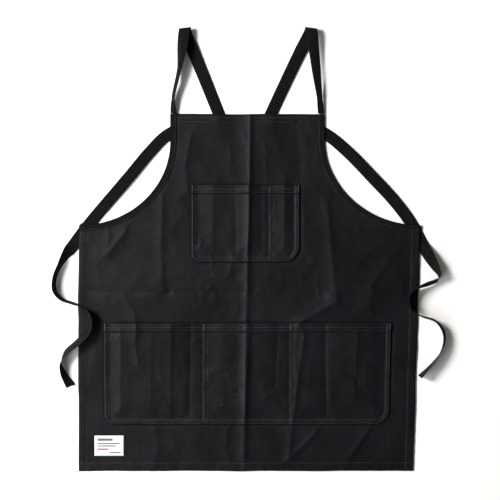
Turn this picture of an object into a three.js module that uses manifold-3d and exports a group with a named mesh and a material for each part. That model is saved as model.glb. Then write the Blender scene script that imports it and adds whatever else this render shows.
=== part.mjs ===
// A cross-back work apron in waxed canvas, laid face up on a flat surface. Millimetres, +Z up.
// +X is to the right and +Y towards the bib, seen from the front. The origin is in the middle of the
// cloth, on the surface it lies on. Each strap is one tape: it binds an armhole, leaves the bib's top
// corner as a shoulder strap, folds over, crosses behind the bib, runs through the keeper at the other
// side corner and ends as a waist tie.
import * as THREE from "three";
import { mergeVertices } from "three/addons/utils/BufferGeometryUtils.js";
import Module from "manifold-3d";

// Driving dimensions of the cloth.
const BODY_WIDTH = 718;
const BODY_LENGTH = 756;
const BIB_WIDTH = 326;
const ARMHOLE_DEPTH = 179;
const CORNER_DROP = 237; // from the top of the bib down to the side corners
const CLOTH = 1.0;
const HEM = 17;
const GAP = 0.3; // between pieces that touch

// Tape of the straps, bindings and keepers.
const TAPE_WIDTH = 25.4;
const TAPE = 0.9;
const BINDING_DEPTH = TAPE_WIDTH / 2; // the tape is folded in half over the edge
const KEEPER_WIDTH = 10;
const KEEPER_CLEARANCE = 1.5;
const HEM_BELOW_CORNER = 61; // the side hems start below the place where a strap passes under them
const LEFT_KEEPER = { fromSide: 15, belowCorner: 7, bearing: -36 };
const RIGHT_KEEPER = { fromSide: 4, belowCorner: 10, bearing: 27 };

// Pockets.
const SEAM = 10; // a double row of stitches holds this much of the pocket's edge
const DIVIDER = 6;
const POCKET_ROOM = 5; // how far a pocket's front stands off the body
const CHEST = { width: 229, height: 163, belowBib: 150, shift: -4.5, corner: 28, dividers: [48] };
const LAP = { fromSides: 55, height: 214, aboveFoot: 99, corner: 30, dividers: [-92, 92] };

const LABEL = { width: 62, height: 43, thickness: 0.6, fromSide: 35, fromBottom: 32 };
const BARTACK = { length: 14, width: 2.4, height: 0.6, inset: 1 };
const ARC_STEPS = 14;
const CORNER_STEPS = 6;
const STEPS_PER_SPAN = 5;

// Places along a strap's route, counted in the route's points.
const FOLD_POINT = 5; // the top of the shoulder loop
const BIB_POINT = 9; // back at the bib's top edge
const MOUTH_POINT = 22; // clear of the cloth, where the tie begins

// Heights: two levels of tape under the cloth, then the folded edges, then the cloth.
const LEVEL_2 = TAPE + GAP;
const BACK_LAYER = 2 * LEVEL_2;
const BODY_Z = BACK_LAYER + TAPE + GAP;
const BODY_TOP = BODY_Z + CLOTH;
const FRONT_LAYER = BODY_TOP + GAP;
const POCKET_UNDERSIDE = FRONT_LAYER + POCKET_ROOM;
const POCKET_TOP = POCKET_UNDERSIDE + CLOTH;

const HALF_WIDTH = BODY_WIDTH / 2;
const HALF_LENGTH = BODY_LENGTH / 2;
const HALF_BIB = BIB_WIDTH / 2;
const CORNER_Y = HALF_LENGTH - CORNER_DROP;
const ARMHOLE_TOP = CORNER_Y + ARMHOLE_DEPTH;
const TURN = Math.PI / 180;

const wasm = await Module();
wasm.setup();

const canvas = new THREE.MeshStandardMaterial({ color: 0x24262a, roughness: 0.62, metalness: 0 });
const tape = new THREE.MeshStandardMaterial({ color: 0x1b1b1c, roughness: 0.85, metalness: 0 });
const thread = new THREE.MeshStandardMaterial({ color: 0x3a3b3e, roughness: 0.6, metalness: 0 });
const satin = new THREE.MeshStandardMaterial({ color: 0xe9e7ea, roughness: 0.55, metalness: 0 });

const apron = new THREE.Group();

function add(name, geometry, material) {
  const mesh = new THREE.Mesh(geometry, material);
  mesh.name = name;
  apron.add(mesh);
  return mesh;
}

function plate(shape, low, high) {
  const geometry = new THREE.ExtrudeGeometry(shape, {
    depth: high - low,
    bevelEnabled: false,
    curveSegments: CORNER_STEPS,
  });
  return geometry.translate(0, 0, low);
}

function rectangle(left, right, bottom, top) {
  const shape = new THREE.Shape();
  shape.moveTo(left, bottom);
  shape.lineTo(right, bottom);
  shape.lineTo(right, top);
  shape.lineTo(left, top);
  return shape;
}

function solid(geometry) {
  const bare = geometry.index ? geometry.toNonIndexed() : geometry.clone();
  bare.deleteAttribute("normal");
  bare.deleteAttribute("uv");
  const merged = mergeVertices(bare, 1e-3);
  return new wasm.Manifold(
    new wasm.Mesh({
      numProp: 3,
      vertProperties: merged.attributes.position.array,
      triVerts: new Uint32Array(merged.index.array),
    }),
  );
}

function geometryOf(manifold) {
  const made = manifold.getMesh();
  const geometry = new THREE.BufferGeometry();
  geometry.setAttribute("position", new THREE.BufferAttribute(made.vertProperties, 3));
  geometry.setIndex(new THREE.BufferAttribute(made.triVerts, 1));
  geometry.computeVertexNormals();
  return geometry;
}

// Joins rings of points, all with the same count, into one closed skin with flat ends.
function skin(rings, section) {
  const count = section.length;
  const corners = rings.flat().flatMap((p) => [p.x, p.y, p.z]);
  const faces = [];
  for (let i = 0; i + 1 < rings.length; i += 1) {
    for (let j = 0; j < count; j += 1) {
      const a = i * count + j;
      const b = i * count + ((j + 1) % count);
      faces.push(a, a + count, b, b, a + count, b + count);
    }
  }
  const last = (rings.length - 1) * count;
  for (const [p, q, r] of THREE.ShapeUtils.triangulateShape(section, [])) {
    faces.push(p, q, r);
    faces.push(last + p, last + r, last + q);
  }
  const geometry = new THREE.BufferGeometry();
  geometry.setAttribute("position", new THREE.Float32BufferAttribute(corners, 3));
  geometry.setIndex(faces);
  geometry.computeVertexNormals();
  return geometry;
}

// The armhole's edge on one side (-1 left, 1 right), from the bib's top corner to the side corner.
function armholeEdge(side) {
  const edge = [new THREE.Vector2(side * HALF_BIB, HALF_LENGTH)];
  for (let i = 0; i <= ARC_STEPS; i += 1) {
    const t = (i / ARC_STEPS) * (Math.PI / 2);
    edge.push(
      new THREE.Vector2(
        side * (HALF_WIDTH - (HALF_WIDTH - HALF_BIB) * Math.cos(t)),
        ARMHOLE_TOP - ARMHOLE_DEPTH * Math.sin(t),
      ),
    );
  }
  return edge;
}

function bodyPanel() {
  const shape = new THREE.Shape([
    ...armholeEdge(1),
    new THREE.Vector2(HALF_WIDTH, -HALF_LENGTH),
    new THREE.Vector2(-HALF_WIDTH, -HALF_LENGTH),
    ...armholeEdge(-1).reverse(),
  ]);
  return plate(shape, BODY_Z, BODY_TOP);
}

// Tape folded over the armhole's edge: one layer in front of the cloth, one behind it.
function armholeBinding(side) {
  const outer = TAPE + GAP;
  const section = [
    [-BINDING_DEPTH, BACK_LAYER],
    [outer, BACK_LAYER],
    [outer, FRONT_LAYER + TAPE],
    [-BINDING_DEPTH, FRONT_LAYER + TAPE],
    [-BINDING_DEPTH, FRONT_LAYER],
    [GAP, FRONT_LAYER],
    [GAP, BODY_Z - GAP],
    [-BINDING_DEPTH, BODY_Z - GAP],
  ].map(([out, z]) => new THREE.Vector2(out, z));
  const edge = armholeEdge(side);
  const rings = edge.map((point, i) => {
    const before = edge[Math.max(i - 1, 0)];
    const after = edge[Math.min(i + 1, edge.length - 1)];
    const along = after.clone().sub(before).normalize();
    const out = new THREE.Vector2(along.y, -along.x).multiplyScalar(-side);
    return section.map(
      (s) => new THREE.Vector3(point.x + out.x * s.x, point.y + out.y * s.x, s.y),
    );
  });
  if (side > 0) rings.reverse();
  return skin(rings, section);
}

// A pocket's front: sewn to the body down its sides, along its foot and at its dividers, open on top.
function pocket({ left, right, top, bottom, corner, dividers }) {
  const outline = new THREE.Shape();
  outline.moveTo(left, top);
  outline.lineTo(left, bottom + corner);
  outline.absarc(left + corner, bottom + corner, corner, Math.PI, 1.5 * Math.PI, false);
  outline.lineTo(right - corner, bottom);
  outline.absarc(right - corner, bottom + corner, corner, 1.5 * Math.PI, 2 * Math.PI, false);
  outline.lineTo(right, top);
  let front = solid(plate(outline, FRONT_LAYER, POCKET_TOP));
  for (const room of compartments({ left, right, top, bottom, dividers })) {
    const hollow = rectangle(room.left, room.right, room.bottom, top + SEAM);
    front = front.subtract(solid(plate(hollow, FRONT_LAYER - SEAM, POCKET_UNDERSIDE)));
  }
  return geometryOf(front);
}

function chestPlace() {
  const top = HALF_LENGTH - CHEST.belowBib;
  const left = CHEST.shift - CHEST.width / 2;
  const { corner, dividers } = CHEST;
  return { left, right: left + CHEST.width, top, bottom: top - CHEST.height, corner, dividers };
}

function lapPlace() {
  const right = HALF_WIDTH - LAP.fromSides;
  const bottom = LAP.aboveFoot - HALF_LENGTH;
  const { corner, dividers } = LAP;
  return { left: -right, right, top: bottom + LAP.height, bottom, corner, dividers };
}

function compartments({ left, right, bottom, dividers }) {
  const walls = [left + SEAM - DIVIDER / 2, ...dividers, right - SEAM + DIVIDER / 2];
  return walls.slice(1).map((wall, i) => ({
    left: walls[i] + DIVIDER / 2,
    right: wall - DIVIDER / 2,
    bottom: bottom + SEAM,
  }));
}

function bartack(x, y, low) {
  const { length, width, height } = BARTACK;
  return plate(rectangle(x - width / 2, x + width / 2, y - length, y), low, low + height);
}

// A flat tape along part of a route, between two of the route's points. Each point is x, y, z, then the
// bearing of the line across the tape and how far that line leans up from level, both in degrees.
function ribbon(route, from, to) {
  const curve = new THREE.CatmullRomCurve3(
    route.map(([x, y, z]) => new THREE.Vector3(x, y, z)),
    false,
    "centripetal",
  );
  const spans = route.length - 1;
  const clear = (GAP * spans) / curve.getLength();
  const start = from + (from > 0 ? clear : 0);
  const count = (to - from) * STEPS_PER_SPAN;
  const section = [[-1, -1], [1, -1], [1, 1], [-1, 1]].map(([a, f]) => new THREE.Vector2(a, f));
  const rings = [];
  for (let i = 0; i <= count; i += 1) {
    const at = THREE.MathUtils.lerp(start, to, i / count);
    const first = Math.min(Math.floor(at), spans - 1);
    const [bearing, lean] = [3, 4].map(
      (k) => TURN * THREE.MathUtils.lerp(route[first][k], route[first + 1][k], at - first),
    );
    const across = new THREE.Vector3(
      Math.cos(bearing) * Math.cos(lean),
      Math.sin(bearing) * Math.cos(lean),
      Math.sin(lean),
    );
    const face = new THREE.Vector3().crossVectors(across, curve.getTangent(at / spans)).normalize();
    across.multiplyScalar(strapWidth(at) / 2);
    face.multiplyScalar(TAPE / 2);
    const centre = curve.getPoint(at / spans);
    rings.push(
      section.map((s) => centre.clone().addScaledVector(across, s.x).addScaledVector(face, s.y)),
    );
  }
  return skin(rings, section);
}

// The tape leaves the bib folded in half and has opened out flat by the time it folds over.
function strapWidth(at) {
  return THREE.MathUtils.lerp(BINDING_DEPTH, TAPE_WIDTH, THREE.MathUtils.smoothstep(at, 0, FOLD_POINT));
}

// From the bib's top left corner to the free end of the right tie.
const LEFT_STRAP = [
  [-156.4, 378.5, 4.1, 0, 0],
  [-157.5, 408, 9, 0, 42],
  [-148, 458, 15.5, -8, 30],
  [-138.5, 513, 18.5, -3, 8],
  [-133, 551, 16.6, 6, 0],
  [-132, 559, 11.8, 7, 0],
  [-131.5, 553, 7, 12, 0],
  [-115, 511, 3.6, 22, 0],
  [-83, 433, 1.4, 22, 0],
  [-61, 379, 0.5, 22, 0],
  [-54, 362, 0.5, 24, 0],
  [-36, 339, 0.5, 58, 0],
  [-5, 331, 0.5, 94, 0],
  [60, 338, 0.5, 96, 0],
  [125, 344.5, 0.5, 95, 0],
  [147, 344, 0.5, 78, 0],
  [173, 331, 0.6, 51, 0],
  [214, 296, 2.2, 46, 0],
  [265, 243, 3.4, 44, 0],
  [310, 195, 2.4, 43, 0],
  [341, 155, 1.65, 35, 0],
  [355, 131, 1.65, 27, 0],
  [372, 99, 1.65, 27, 0],
  [386, 73, 8, 30, 32],
  [399, 50, 12.5, 28, 58],
  [405, 35, 13.6, 0, 84],
  [399, 25.5, 13.6, -50, 90],
  [380, 18, 15.5, -70, 84],
  [357, 9, 18, -60, 86],
  [341, -4, 18, -20, 92],
  [338, -20, 18, 10, 96],
  [346, -38, 18.2, 40, 92],
  [368, -50, 17.6, 62, 90],
  [397, -60, 13.6, 50, 96],
  [415, -84, 13, 5, 113],
  [414, -112, 13.2, -15, 108],
  [394, -145, 13.6, -35, 92],
  [364, -178, 13.2, -42, 76],
];

// From the bib's top right corner to the free end of the left tie.
const RIGHT_STRAP = [
  [156.4, 378.5, 4.1, 0, 0],
  [155.5, 408, 9, 2, -24],
  [147.5, 458, 15.5, 6, -20],
  [140, 513, 18.5, 3, -8],
  [135, 551, 16.6, -7, 0],
  [134, 559, 11.8, -8, 0],
  [133, 553, 7, -13, 0],
  [112, 511, 3.6, -25, 0],
  [75, 433, 2.2, -25, 0],
  [50, 379, 1.7, -25, 0],
  [42, 362, 1.7, -28, 0],
  [24, 340, 1.7, -60, 0],
  [-7, 331, 1.7, -94, 0],
  [-66, 337, 1.7, -96, 0],
  [-125, 344.5, 1.7, -95, 0],
  [-147, 344, 1.65, -78, 0],
  [-173, 331, 1.65, -51, 0],
  [-208, 296, 3.2, -47, 0],
  [-252, 243, 4.2, -45, 0],
  [-294, 194, 2.8, -44, 0],
  [-328, 154, 1.65, -40, 0],
  [-344, 134, 1.65, -36, 0],
  [-370, 99, 1.65, -35, 0],
  [-383, 80, 11.7, -34, -47],
  [-396, 58, 12.8, -26, -72],
  [-407, 31, 13.2, -10, -76],
  [-407, 4, 13.2, 18, -78],
  [-392, -14, 13.6, 50, -86],
  [-366, -23, 17.6, 68, -90],
  [-341, -35, 18, 45, -98],
  [-331, -57, 17.6, 8, -112],
  [-337, -83, 17.4, -28, -124],
  [-358, -105, 17.4, -44, -124],
  [-384, -127, 13.4, -38, -116],
  [-394, -148, 13.4, -5, -92],
  [-388, -171, 12, 15, -66],
  [-373, -198, 10.2, 22, -48],
];

// A short bridge of tape under the strap, its two ends sewn to the back of the side corner.
function keeper(side, { fromSide, belowCorner, bearing }) {
  const inner = TAPE_WIDTH / 2 + KEEPER_CLEARANCE;
  const outer = inner + TAPE;
  const top = BACK_LAYER - GAP;
  const corners = [
    [-outer, 0],
    [outer, 0],
    [outer, top],
    [inner, top],
    [inner, TAPE],
    [-inner, TAPE],
    [-inner, top],
    [-outer, top],
  ];
  const bridge = new THREE.Shape(corners.map(([across, z]) => new THREE.Vector2(across, z)));
  return new THREE.ExtrudeGeometry(bridge, { depth: KEEPER_WIDTH, bevelEnabled: false })
    .translate(0, 0, -KEEPER_WIDTH / 2)
    .rotateX(Math.PI / 2)
    .rotateZ(bearing * TURN)
    .translate(side * (HALF_WIDTH - fromSide), CORNER_Y - belowCorner, 0);
}

function addCloth() {
  const hemInner = HALF_WIDTH - HEM;
  const hemFoot = -HALF_LENGTH + HEM;
  const hemHead = CORNER_Y - HEM_BELOW_CORNER;
  const hemTop = BODY_Z - GAP;
  const bibHem = HALF_BIB - BINDING_DEPTH - GAP;
  add("body_panel", bodyPanel(), canvas);
  add(
    "top_hem",
    plate(rectangle(-bibHem, bibHem, HALF_LENGTH - HEM, HALF_LENGTH), BACK_LAYER, hemTop),
    canvas,
  );
  add(
    "bottom_hem",
    plate(rectangle(-HALF_WIDTH, HALF_WIDTH, -HALF_LENGTH, hemFoot), 0, hemTop),
    canvas,
  );
  add(
    "left_side_hem",
    plate(rectangle(-HALF_WIDTH, -hemInner, hemFoot + GAP, hemHead), 0, hemTop),
    canvas,
  );
  add(
    "right_side_hem",
    plate(rectangle(hemInner, HALF_WIDTH, hemFoot + GAP, hemHead), 0, hemTop),
    canvas,
  );
}

function addTapes() {
  add("left_armhole_binding", armholeBinding(-1), tape);
  add("right_armhole_binding", armholeBinding(1), tape);
  const straps = [["left", "right", LEFT_STRAP], ["right", "left", RIGHT_STRAP]];
  for (const [side, other, route] of straps) {
    add(`${side}_shoulder_loop`, ribbon(route, 0, BIB_POINT), tape);
    add(`${side}_back_run`, ribbon(route, BIB_POINT, MOUTH_POINT), tape);
    add(`${other}_tie`, ribbon(route, MOUTH_POINT, route.length - 1), tape);
  }
  add("left_keeper", keeper(-1, LEFT_KEEPER), tape);
  add("right_keeper", keeper(1, RIGHT_KEEPER), tape);
}

function addPockets() {
  const bartackIn = BARTACK.width / 2 + BARTACK.inset;
  const pockets = { chest_pocket: chestPlace(), lap_pocket: lapPlace() };
  for (const [name, size] of Object.entries(pockets)) {
    add(name, pocket(size), canvas);
    const across = [size.left + bartackIn, ...size.dividers, size.right - bartackIn];
    across.forEach((x, i) => {
      add(`${name}_bartack_${i + 1}`, bartack(x, size.top - BARTACK.inset, POCKET_TOP + GAP), thread);
    });
  }
}

function addLabel() {
  const left = -HALF_WIDTH + LABEL.fromSide;
  const bottom = -HALF_LENGTH + LABEL.fromBottom;
  const shape = rectangle(left, left + LABEL.width, bottom, bottom + LABEL.height);
  add("label", plate(shape, FRONT_LAYER, FRONT_LAYER + LABEL.thickness), satin);
}

addCloth();
addTapes();
addPockets();
addLabel();

export default apron;
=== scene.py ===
"""A cross-back work apron in waxed canvas, laid face up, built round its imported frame.

Lengths are in metres. +X is to the right and +Y towards the bib, seen from the front, and +Z is up.
"""
import math
from functools import cache

import bmesh
import bpy
import numpy as np
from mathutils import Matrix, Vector


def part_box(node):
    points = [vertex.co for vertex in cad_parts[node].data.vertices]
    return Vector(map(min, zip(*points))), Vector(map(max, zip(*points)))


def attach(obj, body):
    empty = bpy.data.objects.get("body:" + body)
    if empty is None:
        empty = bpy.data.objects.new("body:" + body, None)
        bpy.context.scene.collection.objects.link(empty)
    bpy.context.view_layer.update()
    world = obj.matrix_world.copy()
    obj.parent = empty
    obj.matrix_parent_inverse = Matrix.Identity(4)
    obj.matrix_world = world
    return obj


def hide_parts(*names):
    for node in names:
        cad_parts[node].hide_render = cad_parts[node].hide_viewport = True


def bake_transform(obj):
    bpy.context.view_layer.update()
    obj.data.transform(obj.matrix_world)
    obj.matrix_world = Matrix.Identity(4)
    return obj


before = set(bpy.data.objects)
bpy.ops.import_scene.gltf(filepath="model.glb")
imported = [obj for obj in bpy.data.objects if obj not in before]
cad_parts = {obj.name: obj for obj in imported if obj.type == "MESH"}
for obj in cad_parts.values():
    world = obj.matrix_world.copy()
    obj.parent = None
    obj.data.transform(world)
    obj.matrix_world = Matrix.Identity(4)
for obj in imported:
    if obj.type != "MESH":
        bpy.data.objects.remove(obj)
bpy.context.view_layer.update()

bl_info = {
    "name": "Cross-Back Apron",
    "version": (1, 0, 0),
    "blender": (4, 5, 0),
    "location": "3D View > Sidebar > Apron",
    "description": "Makes a waxed canvas apron with tape straps, pockets and stitching",
    "category": "Add Mesh",
}

MM = 0.001
ROOT = "root"
SEED = 41

# Sizes that come from the frame ----------------------------------------------


def span(node):
    """The lowest and highest corner of a CAD node as arrays."""
    low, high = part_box(node)
    return np.array(low), np.array(high)


HALF_WIDTH, HALF_LENGTH, _ = span("body_panel")[1]
HALF_BIB = span("top_hem")[1][0] + 13 * MM
CHEST_LOW, CHEST_HIGH = span("chest_pocket")
LAP_LOW, LAP_HIGH = span("lap_pocket")
LABEL_LOW, LABEL_HIGH = span("label")
CORNER_Y = span("left_armhole_binding")[0][1] + 13.6 * MM
SIDE_HEM_LOW, SIDE_HEM_HIGH = span("left_side_hem")
HEM = SIDE_HEM_HIGH[0] - SIDE_HEM_LOW[0]
SIDE_HEM_TOP = SIDE_HEM_HIGH[1]

ARMHOLE_DEPTH = 179 * MM
ARMHOLE_TOP = CORNER_Y + ARMHOLE_DEPTH
CLOTH = 0.9 * MM
LAY_TOP = 3.1 * MM  # the cloth's face over a hem
TAPE_ROOM = 1.9 * MM  # how far the bib is raised over the straps that cross behind it
SEAM_PUCKER = 0.28 * MM
POCKET_CORNER = 28 * MM
POCKET_STEP = 1.6 * MM  # distance between points of a pocket's mesh
# Each keeper: its name and side, how far in from the side edge and down from the corner it is in
# millimetres, and its bearing in degrees.
KEEPERS = (("left", -1, 15, 7, -36), ("right", 1, 4, 10, 27))
STRAPS_UNDER_BIB = (-61, 50)  # where the straps cross the bib's top edge, in millimetres


SHADE = {"subtype": "COLOR", "size": 3, "min": 0, "max": 1}


class ClothSettings(bpy.types.PropertyGroup):
    colour: bpy.props.FloatVectorProperty(
        name="Canvas Colour", description="Colour of the waxed canvas",
        default=(0.0035, 0.0040, 0.0053), **SHADE,
    )
    wear_colour: bpy.props.FloatVectorProperty(
        name="Worn Colour", description="Colour where creases have rubbed the wax",
        default=(0.029, 0.033, 0.043), **SHADE,
    )
    roughness: bpy.props.FloatProperty(
        name="Roughness", description="Roughness of the wax", min=0, max=1, default=0.40,
    )
    fold_height: bpy.props.FloatProperty(
        name="Fold Height", description="Scale of the creases and folds",
        default=1.45, min=0, max=3,
    )
    step: bpy.props.FloatProperty(
        name="Mesh Step", description="Distance between points of the cloth's mesh",
        default=3.0 * MM, min=1 * MM, max=20 * MM, unit="LENGTH",
    )
    thread_pitch: bpy.props.FloatProperty(
        name="Weave Pitch", description="Distance between the canvas's threads",
        default=0.75 * MM, min=0.1 * MM, max=5 * MM, unit="LENGTH",
    )


class TapeSettings(bpy.types.PropertyGroup):
    width: bpy.props.FloatProperty(
        name="Tape Width", description="Width of the strap tape",
        default=25.4 * MM, min=5 * MM, max=80 * MM, unit="LENGTH",
    )
    thickness: bpy.props.FloatProperty(
        name="Tape Thickness", description="Thickness of the strap tape",
        default=0.9 * MM, min=0.2 * MM, max=4 * MM, unit="LENGTH",
    )
    colour: bpy.props.FloatVectorProperty(
        name="Tape Colour", description="Colour of the strap tape",
        default=(0.0039, 0.0033, 0.0037), **SHADE,
    )
    twill_pitch: bpy.props.FloatProperty(
        name="Twill Pitch", description="Distance between the ribs of the tape's weave",
        default=1.7 * MM, min=0.3 * MM, max=8 * MM, unit="LENGTH",
    )


class StitchSettings(bpy.types.PropertyGroup):
    pitch: bpy.props.FloatProperty(
        name="Stitch Pitch", description="Distance from one stitch to the next",
        default=3.3 * MM, min=1 * MM, max=10 * MM, unit="LENGTH",
    )
    thickness: bpy.props.FloatProperty(
        name="Thread Thickness", description="Thickness of the sewing thread",
        default=0.62 * MM, min=0.1 * MM, max=2 * MM, unit="LENGTH",
    )
    colour: bpy.props.FloatVectorProperty(
        name="Thread Colour", description="Colour of the sewing thread",
        default=(0.035, 0.039, 0.049), **SHADE,
    )


class StageSettings(bpy.types.PropertyGroup):
    field: bpy.props.FloatProperty(
        name="Field", description="Width of the floor that the camera sees",
        default=1.06, min=0.2, max=5, unit="LENGTH",
    )
    lens: bpy.props.FloatProperty(
        name="Lens", description="Focal length in millimetres", default=100, min=20, max=300,
    )
    key_power: bpy.props.FloatProperty(
        name="Key Light", description="Power of the main light in watts",
        default=156, min=0, max=2000,
    )
    fill_power: bpy.props.FloatProperty(
        name="Fill Light", description="Power of the second light in watts",
        default=52, min=0, max=2000,
    )
    sky: bpy.props.FloatProperty(
        name="Sky", description="Strength of the light from all round", default=0.15, min=0, max=5,
    )


# Shader maths ----------------------------------------------------------------

class Wire:
    """A node socket that Python's operators work on."""

    def __init__(self, shader, socket):
        self.shader = shader
        self.socket = socket

    def _math(self, operation, *values):
        return self.shader.node("ShaderNodeMath", {"operation": operation}, dict(enumerate(values)))

    def __add__(self, other):
        return self._math("ADD", self, other)

    def __sub__(self, other):
        return self._math("SUBTRACT", self, other)

    def __rsub__(self, other):
        return self._math("SUBTRACT", other, self)

    def __mul__(self, other):
        return self._math("MULTIPLY", self, other)

    def __truediv__(self, other):
        return self._math("DIVIDE", self, other)

    def __radd__(self, other):
        return self._math("ADD", other, self)

    def __rmul__(self, other):
        return self._math("MULTIPLY", other, self)

    def __abs__(self):
        return self._math("ABSOLUTE", self)

    def __lt__(self, other):
        return self._math("LESS_THAN", self, other)

    def __gt__(self, other):
        return self._math("GREATER_THAN", self, other)

    def sin(self):
        return self._math("SINE", self)

    def fract(self):
        return self._math("FRACT", self)

    def clamp(self):
        return self.shader.node("ShaderNodeClamp", {}, {"Value": self})


class Shader:
    """A material under construction. node() is the one way in which nodes are made."""

    def __init__(self, name):
        self.material = bpy.data.materials.new(name)
        self.material.use_nodes = True
        self.tree = self.material.node_tree
        self.surface = self.tree.nodes["Principled BSDF"]

    def node(self, kind, settings, sockets, output=0):
        made = self.tree.nodes.new(kind)
        for key, value in settings.items():
            if key == "stops":
                self._ramp(made, value)
            else:
                setattr(made, key, value)
        for key, value in sockets.items():
            self._feed(made.inputs[key], value)
        return Wire(self, made.outputs[output])

    def _ramp(self, made, stops):
        elements = made.color_ramp.elements
        for element, (place, value) in zip(elements, stops):
            element.position = place
            element.color = (value, value, value, 1)

    def _feed(self, socket, value):
        if isinstance(value, Wire):
            self.tree.links.new(value.socket, socket)
        elif hasattr(value, "__len__") and len(value) == 3 and socket.type == "RGBA":
            socket.default_value = (*value, 1)
        else:
            socket.default_value = value

    def set(self, **sockets):
        for key, value in sockets.items():
            socket = key.replace("_", " ").title().replace("Ior", "IOR")
            self._feed(self.surface.inputs[socket], value)
        return self.material

    def position(self):
        return self.node("ShaderNodeTexCoord", {}, {}, "Object")

    def tape_place(self):
        return self.node("ShaderNodeUVMap", {"uv_map": "tape"}, {})

    def split(self, vector):
        made = self.node("ShaderNodeSeparateXYZ", {}, {0: vector}).socket.node
        return [Wire(self, out) for out in made.outputs]

    def noise(self, place, scale, detail=3.0, rough=0.55):
        sockets = {"Vector": place, "Scale": scale, "Detail": detail, "Roughness": rough}
        return self.node("ShaderNodeTexNoise", {}, sockets)

    def ramp(self, value, low, high):
        stops = [(low, 0.0), (high, 1.0)]
        return self.node("ShaderNodeValToRGB", {"stops": stops}, {"Fac": value})

    def mix(self, share, a, b):
        return self.node("ShaderNodeMix", {"data_type": "RGBA"}, {0: share, 6: a, 7: b}, 2)

    def bump(self, height, distance, strength=1.0, under=None):
        sockets = {"Height": height, "Distance": distance, "Strength": strength}
        if under is not None:
            sockets["Normal"] = under
        return self.node("ShaderNodeBump", {}, sockets)


def tuned(colour, gain):
    return tuple(min(1.0, c * gain) for c in colour)


def cycles(pitch):
    """The angle for each metre of a pattern that repeats at this pitch."""
    return 2 * math.pi / pitch


CHEVRON = 6.35 * MM  # the tape's weave turns twice in this width
YARN_PITCH = 0.8 * MM
EDGE_BAND = (10.9 * MM, 12.5 * MM)  # where the tape's edge is rubbed, from its middle
TWIST_PITCH = 0.9 * MM
SATIN_PITCH = 0.5 * MM
# The label's plain bars: left, right, foot and top in shares of its size, and which are red.
BARS = (
    (0.10, 0.62, 0.74, 0.86, False), (0.10, 0.86, 0.58, 0.64, False),
    (0.10, 0.74, 0.46, 0.52, False), (0.10, 0.46, 0.28, 0.37, True),
    (0.52, 0.90, 0.13, 0.19, False),
)


@cache
def waxed_canvas():
    cloth = bpy.context.scene.apron_cloth
    m = Shader("waxed_canvas")
    place = m.position()
    x, y, _ = m.split(place)
    turn = cycles(cloth.thread_pitch)
    weave = (x * turn).sin() * (y * turn).sin()
    slub = m.noise(place, 900.0, 2.0)
    mottle = m.noise(place, 9.0, 5.0, 0.6)
    scuff = m.noise(place, 70.0, 6.0, 0.7)
    wear_and_shade = m.node("ShaderNodeAttribute", {"attribute_name": "wear_and_shade"}, {}, "Fac")
    bloom = m.ramp(mottle, 0.42, 0.72)
    rubbed = (wear_and_shade * (scuff * 1.1 - 0.05)).clamp()
    tone = m.mix(bloom * 0.55, cloth.colour, tuned(cloth.colour, 2.1))
    tone = m.mix(m.ramp(scuff, 0.56, 0.8) * 0.25, tone, tuned(cloth.colour, 2.4))
    tone = m.mix(rubbed, tone, cloth.wear_colour)
    # Negative values of the attribute are painted shade beside the pockets and the label and under
    # the pockets' mouth hems, made darker and rougher here.
    painted_shade = (wear_and_shade * -1.0).clamp()
    tone = m.mix(painted_shade * 0.85, tone, tuned(cloth.colour, 0.15))
    tone = m.mix(weave * 0.18 + 0.18, tone, tuned(cloth.colour, 0.45))
    grain = m.bump(weave * 0.5 + slub, 0.12 * MM, 0.75)
    creasing = m.bump(m.noise(place, 130.0, 5.0, 0.62), 0.55 * MM, 0.45, under=grain)
    crumple = m.bump(m.noise(place, 45.0, 3.0, 0.5), 1.3 * MM, 0.45, under=creasing)
    return m.set(
        base_color=tone,
        roughness=cloth.roughness + (mottle - 0.5) * 0.3 + scuff * 0.08 + painted_shade * 0.4,
        normal=crumple,
        specular_ior_level=0.113,
    )


@cache
def strap_tape():
    tape = bpy.context.scene.apron_tape
    m = Shader("strap_tape")
    along, over, _ = m.split(m.tape_place())
    place = m.position()
    chevron = abs((over / CHEVRON).fract() - 0.5) * CHEVRON
    ribs = ((along + chevron * 1.6) * cycles(tape.twill_pitch)).sin()
    yarns = (over * cycles(YARN_PITCH)).sin()
    dust = m.noise(place, 120.0, 5.0, 0.65)
    band = {"From Min": EDGE_BAND[0], "From Max": EDGE_BAND[1], "To Min": 0.0, "To Max": 1.0}
    edge = m.node("ShaderNodeMapRange", {}, {"Value": abs(over), **band})
    tone = m.mix(ribs * 0.35 + 0.42, tuned(tape.colour, 0.4), tuned(tape.colour, 2.6))
    tone = m.mix(m.ramp(dust, 0.45, 0.75) * 0.5, tone, tuned(tape.colour, 4.0))
    tone = m.mix(edge * 0.35, tone, tuned(tape.colour, 3.2))
    relief = m.bump(ribs + yarns * 0.35, 0.22 * MM, 0.9)
    return m.set(
        base_color=tone,
        roughness=0.68 + dust * 0.2,
        normal=relief,
        specular_ior_level=0.08,
    )


@cache
def sewing_thread():
    stitch = bpy.context.scene.apron_stitch
    m = Shader("sewing_thread")
    place = m.position()
    x, y, _ = m.split(place)
    twist = ((x + y) * cycles(TWIST_PITCH)).sin()
    wax = m.noise(place, 32.0, 4.0, 0.6)
    tone = m.mix(m.ramp(wax, 0.42, 0.62), tuned(stitch.colour, 0.2), tuned(stitch.colour, 1.9))
    return m.set(
        base_color=m.mix(twist * 0.2 + 0.2, tone, tuned(stitch.colour, 0.3)),
        roughness=0.4 + wax * 0.2,
        normal=m.bump(twist, 0.08 * MM, 0.7),
        specular_ior_level=0.66,
    )


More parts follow.
